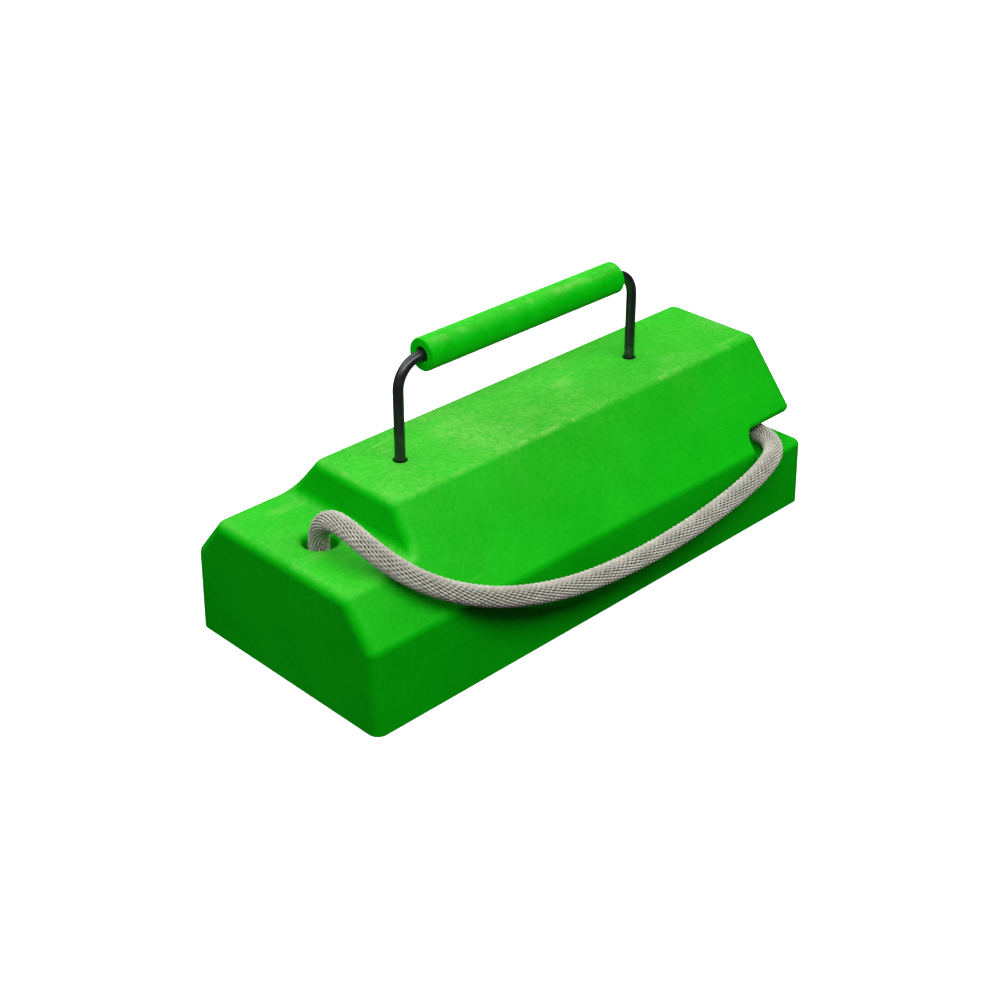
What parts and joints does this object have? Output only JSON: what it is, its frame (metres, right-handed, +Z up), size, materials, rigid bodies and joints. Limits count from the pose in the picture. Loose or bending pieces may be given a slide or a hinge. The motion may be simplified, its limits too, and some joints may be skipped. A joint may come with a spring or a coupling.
{
  "type": "carry block",
  "caption": "Solid cast block with sloped sides, a stepped end, a cross slot, a bent rod carry handle with a loose grip tube, and a braided pull rope along one side.",
  "frame": {"origin": "centre of the block's base, on the surface that it stands on", "axes": "+X along the block's length from the stepped end to the slotted end, -Y towards the side where the rope hangs, +Z up"},
  "size_m": [0.47, 0.2297, 0.2217],
  "materials": {
    "cast_green": "cast polymer, satin, lightly scuffed",
    "grip_green": "moulded tube, satin",
    "dark_rod": "dark coating, satin",
    "zinc_steel": "zinc plated, satin",
    "braided_rope": "fine solid braid, matte"
  },
  "bodies": {
    "block": {"block_body": "cast_green", "handle_rod": "dark_rod", "handle_washer_left": "zinc_steel", "handle_washer_right": "zinc_steel", "handle_nut_left": "zinc_steel", "handle_nut_right": "zinc_steel", "rope_washer_left": "zinc_steel", "rope_washer_right": "zinc_steel", "pull_rope": "braided_rope", "rope_knot_left": "braided_rope", "rope_knot_right": "braided_rope"},
    "grip": {"handle_grip": "grip_green"}
  },
  "joints": [
    {"name": "grip_spin", "type": "hinge", "parent": "block", "child": "grip", "pos_m": [0.0028, 0, 0.2092], "axis": [1, 0, 0], "continuous": true}
  ]
}
